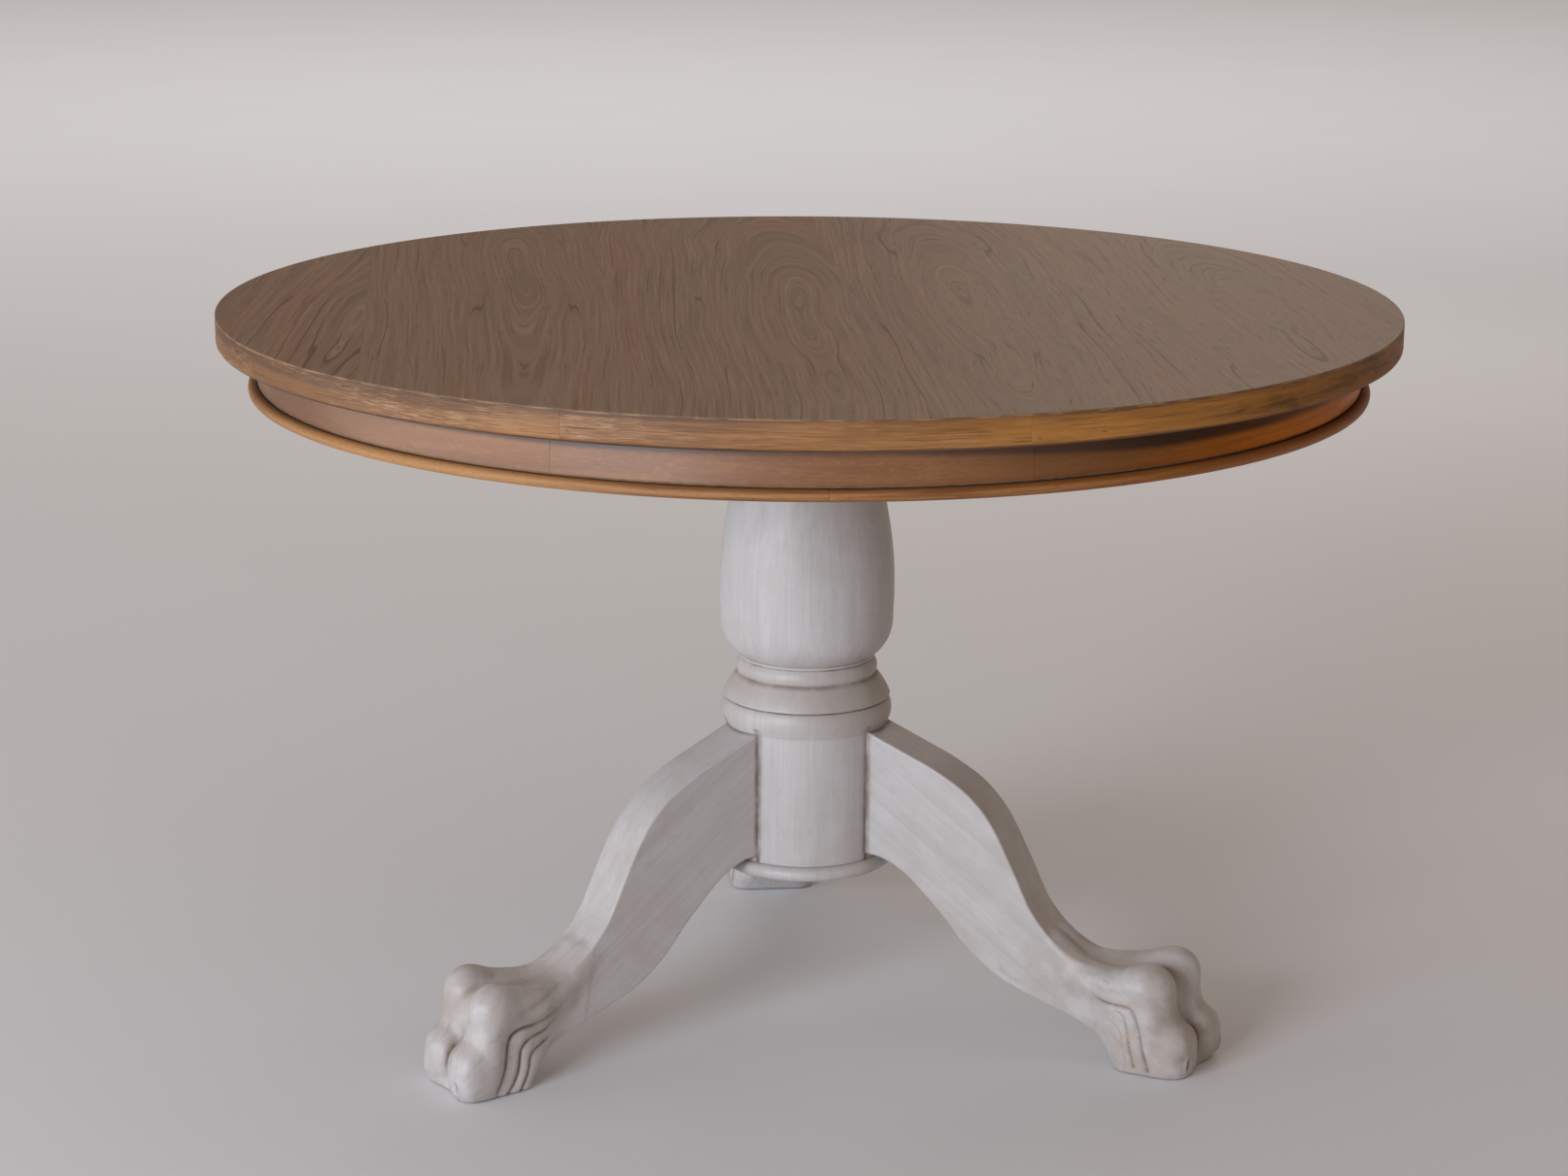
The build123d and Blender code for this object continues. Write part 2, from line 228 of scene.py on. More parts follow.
def make_piece(name, points, faces, finish, slot, **attributes):
    """Adds one mesh piece, in metres, in place of the CAD node of its name.

    Attributes are values or vectors per point."""
    mesh = bpy.data.meshes.new(name)
    mesh.from_pydata(points.tolist(), [], faces)
    for label, values in attributes.items():
        values = np.asarray(values, dtype=np.float32)
        kind, field = ("FLOAT", "value") if values.ndim == 1 else ("FLOAT_VECTOR", "vector")
        layer = mesh.attributes.new(label, kind, "POINT")
        layer.data.foreach_set(field, values.ravel())
    mesh.shade_smooth()
    mesh.materials.append(finish)
    piece = add_object(name, mesh)
    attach(piece, "root")
    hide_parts(name)
    return piece


def keep_flats(piece):
    """Makes large faces shade flat beside their rounded edges, and keeps square corners crisp."""
    piece.data.set_sharp_from_angle(angle=math.radians(50))
    weights = piece.modifiers.new("face_weights", "WEIGHTED_NORMAL")
    weights.weight = 100
    weights.keep_sharp = True


def merge_doubles(piece):
    """Joins points that lie on each other, as where an arc closes on itself."""
    work = bmesh.new()
    work.from_mesh(piece.data)
    bmesh.ops.remove_doubles(work, verts=work.verts, dist=1e-6)
    work.to_mesh(piece.data)
    work.free()


def tube_faces(rows, columns):
    """Quads round a tube whose points are stored row by row, and a cap on each end."""
    r, c = (a.ravel() for a in np.meshgrid(np.arange(rows - 1), np.arange(columns), indexing="ij"))
    next_r, next_c = r + 1, (c + 1) % columns
    corners = (r * columns + c, r * columns + next_c, next_r * columns + next_c, next_r * columns + c)
    faces = np.stack(corners, axis=1).tolist()
    faces.append(list(range(columns))[::-1])
    faces.append([(rows - 1) * columns + k for k in range(columns)])
    return faces


def unit(vector):
    return vector / np.linalg.norm(vector)


def ease(value, low, high):
    """Eases from 0 to 1 while the value goes from low to high."""
    t = np.clip((value - low) / (high - low), 0, 1)
    return t * t * (3 - 2 * t)


def bell(value, width):
    """1 where the value is 0, and less to both sides of that."""
    return np.exp(-((value / width) ** 2))


def rounded_section(corners, steps=5):
    """A closed outline from (x, y, radius) corners, with each corner of some radius turned into an arc."""
    outline = []
    for k, (x, y, radius) in enumerate(corners):
        here = np.array((x, y))
        if radius == 0:
            outline.append(here)
            continue
        before = unit(np.array(corners[k - 1][:2]) - here)
        after = unit(np.array(corners[(k + 1) % len(corners)][:2]) - here)
        half = math.acos(np.clip(before @ after, -1, 1)) / 2
        centre = here + unit(before + after) * radius / math.sin(half)
        reach = radius / math.tan(half)
        start = here + before * reach - centre
        end = here + after * reach - centre
        outline += [centre + unit(start * (1 - t) + end * t) * radius for t in np.linspace(0, 1, steps)]
    return np.array(outline)


def add_arc(outline, through, end, steps):
    """Goes on from an outline's last point to an end, on the arc that passes through another point."""
    a, b, c = np.array((outline.pop(), through, end), dtype=float)
    sides = np.array((b - a, c - a))
    to_middle = np.linalg.solve(sides, (sides**2).sum(axis=1) / 2)
    first, passing, last = (math.atan2(*(point - a - to_middle)[::-1]) for point in (a, b, c))
    sweep = (last - first) % (2 * math.pi)
    if (passing - first) % (2 * math.pi) > sweep:
        sweep -= 2 * math.pi
    angles = first + sweep * np.arange(steps) / steps
    arms = np.linalg.norm(to_middle) * np.stack((np.cos(angles), np.sin(angles)), axis=1)
    outline += [*(a + to_middle + arms), end]


def smooth_through(points, steps=8):
    """A Catmull-Rom curve through the points."""
    p = np.array(points, dtype=float)
    p = np.vstack((2 * p[0] - p[1], p, 2 * p[-1] - p[-2]))
    t = np.linspace(0, 1, steps, endpoint=False)[:, None]
    curve = []
    for a, b, c, d in zip(p, p[1:], p[2:], p[3:]):
        bend = (2 * a - 5 * b + 4 * c - d) * t**2 + (3 * b - a - 3 * c + d) * t**3
        curve.append((2 * b + (c - a) * t + bend) / 2)
    return np.vstack(curve + [p[-2:-1]])


# ---- Pieces of the top ----

def ring_piece(name, section, joints, finish, slot, grain_shift, gap, easing):
    """A block swept round the table's axis from one joint to the next, with its ends eased a little.

    The section is a closed outline of (radius, height). The gap is what each end keeps off its joint."""
    degrees_per_step = 1.2
    middle_radius = section[:, 0].mean()
    start, end = (math.radians(joint) for joint in joints)
    start += gap / middle_radius
    end -= gap / middle_radius
    count = max(2, round(math.degrees(end - start) / degrees_per_step))
    body = np.linspace(start + easing / middle_radius, end - easing / middle_radius, count)
    angles = np.concatenate(([start], body, [end]))
    middle = section.mean(axis=0)
    inset = middle + (section - middle) * (1 - easing / np.ptp(section, axis=0))
    points = []
    grain = []
    for k, angle in enumerate(angles):
        outline = inset if k in (0, len(angles) - 1) else section
        radius, height = outline[:, 0], outline[:, 1]
        points.append(np.stack((radius * math.sin(angle), -radius * math.cos(angle), height), axis=1))
        along = np.full(len(outline), angle * middle_radius)
        grain.append(np.stack((along, radius, height), axis=1) + np.array(grain_shift))
    faces = tube_faces(len(angles), len(section))
    piece = make_piece(name, np.concatenate(points), faces, finish, slot, grain=np.concatenate(grain))
    keep_flats(piece)


def make_ring(name, count, first_joint, section, finish, slot, shift, gap=0.12 * MM, easing=0.5 * MM):
    """The blocks of one ring, each with its grain shifted further along and up, so that no two are alike."""
    turn = 360 / count
    for k in range(count):
        joints = (first_joint + k * turn, first_joint + (k + 1) * turn)
        grain_shift = (shift[0] * k, 0, shift[1] * k)
        ring_piece(f"{name}_{k + 1}", section, joints, finish, slot, grain_shift, gap, easing)


def make_rim(finish):
    """The lipping blocks, which show as the slab's edge."""
    section = rounded_section([
        (rim_inner, rim_bottom, 0),
        (top_radius, rim_bottom, 5 * MM),
        (top_radius, leaf_bottom, 0.3 * MM),
        (rim_inner, leaf_bottom, 0),
    ])
    fit = (0.08 * MM, 0.3 * MM)  # a finer gap and easing than the other rings have
    make_ring("rim_segment", rim_count, rim_first_joint, section, finish, "rim_wood", (7.3, 1.7), *fit)


def make_apron(finish):
    """The banded apron, bevelled along its lower edge."""
    bevel = 2 * MM
    section = rounded_section([
        (apron_inner, apron_bottom, 0),
        (apron_radius - bevel, apron_bottom, 0.4 * MM),
        (apron_radius, apron_bottom + bevel, 0.8 * MM),
        (apron_radius, rim_bottom, 0),
        (apron_inner, rim_bottom, 0),
    ])
    make_ring("apron_segment", apron_count, apron_first_joint, section, finish, "apron_wood", (3.9, 2.3))


def make_bead(finish):
    """The moulding with a half-round nose under the apron."""
    nose = (apron_bottom - bead_bottom) / 2 * 0.98
    section = rounded_section([
        (apron_inner, bead_bottom, 0),
        (bead_radius, bead_bottom, nose),
        (bead_radius, apron_bottom, nose),
        (apron_inner, apron_bottom, 0),
    ], steps=8)
    make_ring("bead_strip", bead_count, bead_first_joint, section, finish, "bead_wood", (5.1, 3.1))


def make_leaf(index, finish, figure):
    """One veneer leaf with a worn outer edge.

    The figure gives the middle of its arched grain (X, Y), a number that sets it apart and its lean."""
    middle_x, middle_y, seed, lean = figure
    edges = [-top_radius, *leaf_joints, top_radius]
    wear = 0.9 * MM
    rings = [(0.0, leaf_bottom)]
    for turn in np.linspace(0, math.pi / 2, 5):
        rings.append((wear * (1 - math.cos(turn)), table_height - wear * (1 - math.sin(turn))))
    steps = 48
    points = []
    for inset, height in rings:
        radius = top_radius - inset
        low, high = (math.asin(np.clip(edge / radius, -1, 1)) for edge in edges[index : index + 2])
        angles = np.linspace(low, high, steps)
        x = radius * np.sin(angles)
        y = radius * np.cos(angles)
        x = np.concatenate((x, x[::-1]))
        y = np.concatenate((-y, y[::-1]))
        points.append(np.stack((x, y, np.full(len(x), height)), axis=1))
    points = np.concatenate(points)
    grain = points - np.array((middle_x, middle_y, 0))
    grain[:, 0] += lean * grain[:, 1]
    grain[:, 2] = seed
    name = f"top_leaf_{index + 1}"
    piece = make_piece(name, points, tube_faces(len(rings), 2 * steps), finish, "top_veneer", grain=grain)
    merge_doubles(piece)
    keep_flats(piece)


# ---- Column and base disc ----

def column_outline():
    """Half section of the turning in millimetres, from the foot of the drum up to the cap."""
    foot, top = column_foot / MM, column_top / MM
    drum_top = foot + 139
    bead_top = drum_top + 25
    ovolo_bottom = bead_top + 2
    ovolo_top = ovolo_bottom + 24.5
    ring_top = ovolo_top + 17
    vase = ring_top + 3.5
    cap_bottom = top - 18
    collar_bottom = cap_bottom - 14
    # Radii
    quirk, ovolo, ovolo_neck = 83.5, 88, 72.5
    ring, vase_foot, belly = 69, 71.5, 90
    neck, collar, cap = 57, 64, 75
    shoulder = (83, vase + 154)
    hollow = (62, collar_bottom - 22)
    between = ((shoulder[0] + hollow[0]) / 2 + 2.5, (shoulder[1] + hollow[1]) / 2)
    outline = [(0, foot), (DRUM_RADIUS, foot), (DRUM_RADIUS, drum_top)]
    add_arc(outline, (89.5, drum_top + 12.5), (DRUM_RADIUS, bead_top), 12)
    outline += [(quirk, bead_top), (quirk, ovolo_bottom), (ovolo, ovolo_bottom)]
    add_arc(outline, (83.3, ovolo_bottom + 10.3), (ovolo_neck, ovolo_top), 16)
    add_arc(outline, (74, ovolo_top + 6), (ring, ring_top), 10)
    outline += [(vase_foot, ring_top), (vase_foot, vase)]
    add_arc(outline, (84.8, vase + 15), (belly, vase + 40), 16)
    add_arc(outline, (91.2, vase + 73), shoulder, 24)
    add_arc(outline, between, hollow, 16)
    add_arc(outline, (58.2, collar_bottom - 11), (neck, collar_bottom), 8)
    outline.append((collar, collar_bottom))
    add_arc(outline, (66, collar_bottom + 7), (collar, cap_bottom), 8)
    return np.array([*outline, (cap, cap_bottom), (cap, top), (0, top)])


def disc_outline():
    """Half section of the base disc in millimetres, with a rounded edge."""
    low, high, radius = disc_bottom / MM, column_foot / MM, disc_radius / MM
    nose = (high - low) / 2
    outline = [(0, low), (radius - nose, low)]
    add_arc(outline, (radius, low + nose), (radius - nose, high), 12)
    return np.array([*outline, (0, high)])


def resampled(line, step):
    """The same line with evenly spaced points."""
    lengths = np.concatenate(([0], np.cumsum(np.hypot(*np.diff(line, axis=0).T))))
    places = np.linspace(0, lengths[-1], round(lengths[-1] / step) + 1)
    return np.stack([np.interp(places, lengths, line[:, k]) for k in range(2)], axis=1)


def softened(line, reach, step):
    """An evenly spaced line with its corners blurred over a reach."""
    span = int(3 * reach / step)
    weights = np.exp(-0.5 * (np.arange(-span, span + 1) * step / reach) ** 2)
    weights /= weights.sum()
    padded = np.vstack((2 * line[0] - line[span:0:-1], line, 2 * line[-1] - line[-2 : -span - 2 : -1]))
    return np.stack([np.convolve(padded[:, k], weights, "valid") for k in range(2)], axis=1)


def turned_piece(name, outline, finish):
    """Turns a half section about the table's axis, with the soft edges that paint leaves.

    Its points carry glaze, which is greatest in the hollows, and the painted shade of the gaps under the
    legs' lower corners."""
    around = 176
    step = 0.5
    paint_reach, grime_reach = 0.8, 2.4
    deepest_hollow = 0.85
    largest_bend = 7  # degrees between two rows of points
    longest_step = 9  # millimetres between them
    dense = resampled(outline, step)
    edge = softened(dense, paint_reach, step)
    broad = softened(dense, grime_reach, step)
    tangent = np.gradient(edge, axis=0)
    tangent /= np.linalg.norm(tangent, axis=1)[:, None]
    outward = np.stack((tangent[:, 1], -tangent[:, 0]), axis=1)
    hollow = ((broad - edge) * outward).sum(axis=1)
    kept = [0]
    for k in range(1, len(edge) - 1):
        bend = math.degrees(math.acos(np.clip(tangent[k] @ tangent[kept[-1]], -1, 1)))
        if bend > largest_bend or (k - kept[-1]) * step > longest_step:
            kept.append(k)
    kept.append(len(edge) - 1)
    edge, hollow = edge[kept], hollow[kept]
    edge[:, 0] = np.maximum(edge[:, 0], 0.5)
    angles = np.linspace(0, 2 * math.pi, around, endpoint=False)
    radius, height = edge[:, :1], np.broadcast_to(edge[:, 1:], (len(edge), around))
    points = np.stack((radius * np.sin(angles), -radius * np.cos(angles), height), axis=2).reshape(-1, 3)
    grime = np.repeat(np.clip(hollow / deepest_hollow, -1, 1), around)
    grime = np.maximum(grime, leg_joint_grime(points))
    grain = points[:, [2, 0, 1]] * MM
    faces = tube_faces(len(edge), around)
    make_piece(name, points * MM, faces, finish, "painted_wood", grime=grime, grain=grain)


def leg_joint_grime(points):
    """Glaze that gathers on the drum beside the legs' shoulders, and a stronger painted shade at their lower
    corners, for the dark gaps above the disc.
    """
    foot, head = 185, 325
    x, y, z = points.T
    grime = np.zeros(len(points))
    for azimuth in leg_azimuths.values():
        turn = math.radians(azimuth)
        ahead = x * math.sin(turn) > y * math.cos(turn)
        beside = np.abs(np.abs(x * math.cos(turn) + y * math.sin(turn)) - LEG_HALF)
        joint = 0.8 * bell(beside, 5) * (z > foot) * (z < head)
        # Painted shade for the dark gaps between the legs' lower corners and the disc
        painted_gap_shade = 1.3 * bell(beside, 2.5) * (np.abs(z - foot) < 5)
        grime = np.maximum(grime, ahead * np.maximum(joint, painted_gap_shade))
    return grime


# ---- Legs: a field in millimetres that is negative inside the wood ----
# u runs out from the table's axis along the leg, v across it, z up.

SOLE = 1.5  # level of the carved sole, above the glide's lower face
PAW_SKEW = 0.11  # how far the paw's left side runs ahead of its middle, per distance from it
PAW_START = 292  # where fine carving starts, in u
PAW_SIDE = (17, 31)  # distances from the middle plane between which the side's grooves fade in
PAW_FRONT = (428, 438)  # places in u between which the claws fade in
CLAW = (37, 17)  # middle of a claw: distance from the middle plane, and z

# Outlines in u and z: the upper line, then the lower line backwards
BOARD = (
    [(78, 321), (127, 301), (160, 287), (195, 266), (222, 236), (246, 192), (270, 146), (305, 112),
     (345, 96)],
    [(345, 34), (299, 49), (238, 71), (200, 97), (166, 134), (127, 170), (100, 184), (76, 187)],
)
PAW = (
    [(285, 122), (302, 111), (320, 103), (345, 99), (386, 100), (402, 95), (413, 83), (417, 66), (420, 52),
     (431, 32)],
    [(437, 12), (438, -8), (372, -8), (364, 1), (353, 15), (338, 30), (319, 41), (295, 50)],
)

# Fur grooves cut into each side of the paw: path in u and z, depth, and how fast the wood rises again on
# the side of the toes and behind
LEFT_GROOVES = [
    ([(304, 92), (331, 76), (352, 69), (368, 68), (382, 68), (393, 64), (399, 55), (401, 41), (403, 27),
      (411, 8)], 4.2, 2.4, 4.5),
    ([(310, 78), (335, 64), (351, 57), (364, 56), (375, 53), (382, 46), (384, 36), (386, 23), (391, 12),
      (398, 2)], 3.8, 2.6, 4.0),
    ([(320, 59), (340, 49), (353, 45), (365, 41), (371, 34), (373, 23), (377, 13), (383, 2)], 3.2, 2.6, 4.0),
]
RIGHT_GROOVES = [
    ([(324, 88), (341, 77), (357, 71), (373, 71), (383, 70), (389, 63), (395, 48), (398, 33), (405, 8)],
     3.2, 3.0, 4.5),
    ([(352, 68), (364, 66), (376, 61), (381, 48), (384, 30), (390, 8)], 1.7, 1.8, 2.4),
    ([(354, 54), (364, 51), (374, 42), (377, 27), (382, 8)], 1.5, 1.8, 2.4),
    ([(357, 42), (366, 35), (372, 23), (375, 8)], 1.2, 1.8, 2.4),
]
# Soft furrows that run under the sinews: path, depth and half width
LEFT_FURROWS = [([(392, 84), (371, 85), (355, 88), (327, 95), (296, 103)], 3.0, 5.0)]
RIGHT_FURROWS = [([(392, 84), (371, 84), (348, 84), (318, 96)], 1.5, 5.0)]

# Rounded bodies of a toe: middle in u, distance from the middle plane and z, then half sizes
KNUCKLE = ((400, 30, 89), (27, 23.5, 24))
TOE = ((408, 28, 56), (21.5, 27, 36))
TOE_TIP = (421.5, 28, 24)
# The sinew behind a toe: u, distance from the middle plane, z and radius
SINEW = [(400, 31, 90, 22), (355, 26, 83.5, 19.5), (320, 17, 86, 16.5), (286, 11, 112, 15)]


def smooth_min(a, b, reach):
    """The lesser of two fields, which joins their bodies with a fillet of some reach."""
    h = np.clip(0.5 + 0.5 * (b - a) / reach, 0, 1)
    return b + (a - b) * h - reach * h * (1 - h)


def offset_from(a, b, u, z):
    """Offset in u and z from the nearest point of the line from a to b, and the share of the line passed."""
    along = b - a
    t = np.clip(((u - a[0]) * along[0] + (z - a[1]) * along[1]) / (along @ along), 0, 1)
    return u - a[0] - t * along[0], z - a[1] - t * along[1], t


def outline_distance(outline, u, z):
    """Signed distance in the side view to a closed outline, negative inside."""
    nearest = np.full(np.broadcast(u, z).shape, 1e9)
    inside = np.zeros(nearest.shape, bool)
    for a, b in zip(outline, np.roll(outline, -1, axis=0)):
        du, dz, _ = offset_from(a, b, u, z)
        nearest = np.minimum(nearest, du**2 + dz**2)
        if a[1] != b[1]:
            crossing = (z < a[1]) != (z < b[1])
            inside ^= crossing & (u < a[0] + (z - a[1]) * (b[0] - a[0]) / (b[1] - a[1]))
    nearest = np.sqrt(nearest)
    return np.where(inside, -nearest, nearest)


def place_along(path, u, z):
    """Distance in the side view to a smooth path, which side of it this is, and the share of it passed."""
    line = smooth_through(path, 6)
    nearest = np.full(np.broadcast(u, z).shape, 1e9)
    side = np.zeros(nearest.shape)
    share = np.zeros(nearest.shape)
    for k, (a, b) in enumerate(zip(line, line[1:])):
        du, dz, t = offset_from(a, b, u, z)
        square = du**2 + dz**2
        closer = square < nearest
        nearest = np.where(closer, square, nearest)
        side = np.where(closer, (b[0] - a[0]) * dz - (b[1] - a[1]) * du, side)
        share = np.where(closer, (k + t) / (len(line) - 1), share)
    return np.sqrt(nearest), side, share


def groove_depth(grooves, furrows, u, z):
    """How deep the fur grooves and furrows cut, with rounded locks between the grooves."""
    cut = np.zeros(np.broadcast(u, z).shape)
    for path, depth, ahead, behind in grooves:
        distance, side, share = place_along(path, u, z)
        profile = np.exp(-distance / np.where(side > 0, ahead, behind))
        cut = np.maximum(cut, depth * profile * ease(share, 0.0, 0.3))
    for path, depth, width in furrows:
        distance, side, share = place_along(path, u, z)
        cut = cut + depth * bell(distance, width) * ease(share, 0.0, 0.2) * ease(share, 1.0, 0.6)
    return cut


def glaze_in_grooves(grooves, line, haze, u, z):
    """Umber glaze wiped into the grooves: a line along each and a haze beside it."""
    glaze = np.zeros(np.broadcast(u, z).shape)
    for path, depth, _, _ in grooves:
        distance, _, share = place_along(path, u, z)
        here = line * bell(distance, 1.2) + haze * bell(distance, 4.5)
        glaze = np.maximum(glaze, here * ease(depth, 0, 3.0) * ease(share, 0.0, 0.3))
    return glaze


class SideTable:
    """Values of a function of the side view, worked out on a fine grid and looked up between its points."""

    low = np.array((60.0, -20.0))
    high = (475, 345)
    step = 0.75

    def __init__(self, function, *given):
        u, z = (np.arange(low, high, self.step) for low, high in zip(self.low, self.high))
        self.values = function(*given, u[:, None], z[None, :])

    def __call__(self, u, z):
        a = np.clip((u - self.low[0]) / self.step, 0, self.values.shape[0] - 1.001)
        b = np.clip((z - self.low[1]) / self.step, 0, self.values.shape[1] - 1.001)
        i, j = a.astype(int), b.astype(int)
        s, t = a - i, b - j
        lower = self.values[i, j] * (1 - t) + self.values[i, j + 1] * t
        upper = self.values[i + 1, j] * (1 - t) + self.values[i + 1, j + 1] * t
        return lower * (1 - s) + upper * s


def slab(side, across, half, rounding):
    """An outline extruded to a half width, with rounded edges."""
    a = side + rounding
    b = across - half + rounding
    return np.minimum(np.maximum(a, b), 0) + np.hypot(np.maximum(a, 0), np.maximum(b, 0)) - rounding


def ellipsoid(u, v, z, centre, radii, power=2.0):
    """A rounded body, which a power above 2 makes squarer."""
    shares = [np.abs(p - c) / r for p, c, r in zip((u, v, z), centre, radii)]
    size = sum(s**power for s in shares) ** (1 / power) + 1e-6
    steep = [(s / size) ** (power - 1) / r for s, r in zip(shares, radii)]
    return (size - 1) / np.sqrt(sum(s * s for s in steep))


def tapered_rod(u, v, z, start, end):
    """A rod from one (u, v, z, radius) to another, round at both ends."""
    a, b = np.array(start, float), np.array(end, float)
    along = (b - a)[:3]
    offsets = (u - a[0], v - a[1], z - a[2])
    t = np.clip(sum(o * d for o, d in zip(offsets, along)) / (along @ along), 0, 1)
    square = sum((o - t * d) ** 2 for o, d in zip(offsets, along))
    return np.sqrt(square) - (a[3] + t * (b[3] - a[3]))


def toes_and_sinews(r, w, z):
    """The paw's rounded bodies, the same on both sides of the middle plane."""
    toe = smooth_min(ellipsoid(r, w, z, *KNUCKLE), ellipsoid(r, w, z, *TOE), 10)
    tip_height = np.where(z < TOE_TIP[2], 28, 32)
    toe = smooth_min(toe, ellipsoid(r, w, z, TOE_TIP, (27.5, 26, tip_height), power=2.8), 12)
    sinew = tapered_rod(r, w, z, *SINEW[:2])
    for start, end, reach in zip(SINEW[1:], SINEW[2:], (3, 6)):
        sinew = smooth_min(sinew, tapered_rod(r, w, z, start, end), reach)
    return smooth_min(toe, sinew, 8)


def make_leg_field():
    """Returns the leg's field, a function of u, v and z."""
    board_side = SideTable(outline_distance, np.vstack([smooth_through(line) for line in BOARD]))
    paw_side = SideTable(outline_distance, np.vstack([smooth_through(line) for line in PAW]))
    left_cut = SideTable(groove_depth, LEFT_GROOVES, LEFT_FURROWS)
    right_cut = SideTable(groove_depth, RIGHT_GROOVES, RIGHT_FURROWS)

    def field(u, v, z):
        w = np.abs(v)
        board = slab(board_side(u, z), w, LEG_HALF, 2.2)
        # The paw grows wider and rounder than the board, and narrower again at the claws
        half = 26.5 + 22.5 * ease(u, 300, 385) - 5 * ease(u, 402, 432)
        rounding = 4 + 12 * ease(u, 290, 345)
        wood = smooth_min(board, slab(paw_side(u, z), w, half, rounding), 6)
        # It is turned a little on its leg
        r = u - PAW_SKEW * v * ease(u, 330, 400)
        wood = smooth_min(wood, toes_and_sinews(r, w, z), 7)
        wood = wood + ease(w, *PAW_SIDE) * np.where(v > 0, left_cut(u, z), right_cut(u, z))
        # A raised rim round each claw and a slit down its middle
        claw = np.hypot((w - CLAW[0]) / 5.5, (z - CLAW[1]) / 8)
        rim = 1.3 * bell(claw - 1, 0.25)
        slit = 1.8 * bell(w - CLAW[0], 1.8) * ease(claw, 0.95, 0.5)
        wood = wood - ease(r, *PAW_FRONT) * (rim - slit)
        return -smooth_min(-wood, z - SOLE, 1.5)

    return field


def gradient_of(field, points, step=0.4):
    """The field's slope at points, by differences."""
    slope = np.empty(points.shape)
    for axis in range(3):
        ahead, behind = points.copy(), points.copy()
        ahead[:, axis] += step
        behind[:, axis] -= step
        slope[:, axis] = (field(*ahead.T) - field(*behind.T)) / (2 * step)
    return slope


def surface_net(values, axes):
    """A closed quad mesh with one point in each cell where the field changes sign."""
    inside = values < 0
    cells_shape = tuple(n - 1 for n in values.shape)
    cells, spots, quads = [], [], []
    for axis in range(3):
        index = np.stack(np.nonzero(np.diff(inside, axis=axis)), axis=1)
        step = np.eye(3, dtype=int)[axis]
        low, high = values[tuple(index.T)], values[tuple((index + step).T)]
        spot = np.stack([axes[k][index[:, k]] for k in range(3)], axis=1)
        spot[:, axis] += low / (low - high) * (axes[axis][index[:, axis] + 1] - spot[:, axis])
        one, two = (k for k in range(3) if k != axis)
        ring = []
        for a, b in ((0, 0), (1, 0), (1, 1), (0, 1)):
            cell = index.copy()
            cell[:, one] -= a
            cell[:, two] -= b
            ring.append(np.ravel_multi_index(cell.T, cells_shape))
        quad = np.stack(ring, axis=1)
        backwards = (low < 0) == (axis == 1)
        quad[backwards] = quad[backwards][:, ::-1]
        cells += ring
        spots += [spot] * 4
        quads.append(quad)
    spots = np.concatenate(spots)
    used, number = np.unique(np.concatenate(cells), return_inverse=True)
    total = np.stack([np.bincount(number, spots[:, k]) for k in range(3)], axis=1)
    return total / np.bincount(number)[:, None], np.searchsorted(used, np.concatenate(quads)).tolist()


def leg_glaze(field, points, normals):
    """Glaze in the leg's hollows, in its grooves, round its claws and along the drum."""
    glaze = np.zeros(len(points))
    for reach, weight in ((3.0, 0.5), (8.0, 0.5), (18.0, 0.45)):
        glaze += weight * np.clip(1 - field(*(points + normals * reach).T) / reach, 0, 1)
    u, v, z = points.T
    left = SideTable(glaze_in_grooves, LEFT_GROOVES, 0.35, 0.2)(u, z)
    right = SideTable(glaze_in_grooves, RIGHT_GROOVES, 0.1, 0.35)(u, z)
    glaze = glaze + ease(np.abs(v), *PAW_SIDE) * np.where(v > 0, left, right)
    slit = bell(np.abs(v) - CLAW[0], 1.6) * bell(z - CLAW[1], 5.5)
    glaze = glaze + 0.5 * slit * ease(u, *PAW_FRONT)
    return np.maximum(glaze, 0.8 * bell(np.hypot(u, v) - DRUM_RADIUS, 5))


def carve_leg():
    """The leg's points, faces, normals and glaze, standing along +X."""
    field = make_leg_field()
    fine = 1.3
    u = np.concatenate((np.arange(70, PAW_START, 2.5), np.arange(PAW_START, 458, fine)))
    v = np.arange(-60, 60.1, fine)
    z = np.concatenate((np.arange(-4, 126, fine), np.arange(127, 330, 2.0)))
    values = field(u[:, None, None], v[None, :, None], z[None, None, :])
    points, faces = surface_net(values, (u, v, z))
    for _ in range(2):
        slope = gradient_of(field, points)
        steepness = (slope**2).sum(axis=1)
        points = points - slope * np.clip(field(*points.T) / np.maximum(steepness, 0.05), -1, 1)[:, None]
    slope = gradient_of(field, points)
    normals = slope / np.linalg.norm(slope, axis=1)[:, None]
    return points, faces, normals, leg_glaze(field, points, normals)


def make_legs(finish):
    """The three legs, alike but for their grain, which follows the board's slope."""
    points, faces, normals, glaze = carve_leg()
    slope = math.radians(35)
    u, v, z = points.T
    along = u * math.cos(slope) - z * math.sin(slope)
    upright = u * math.sin(slope) + z * math.cos(slope)
    for k, (side, azimuth) in enumerate(leg_azimuths.items()):
        turn = np.array(Matrix.Rotation(math.radians(azimuth - 90), 3, "Z")).T
        grain = np.stack((along, v, upright), axis=1) * MM + np.array((2.7 * k, 0.9 * k, 0))
        placed = points @ turn * MM
        leg = make_piece(f"leg_{side}", placed, faces, finish, "painted_wood", grime=glaze, grain=grain)
        leg.data.normals_split_custom_set_from_vertices((normals @ turn).tolist())


# ---- Finishes ----

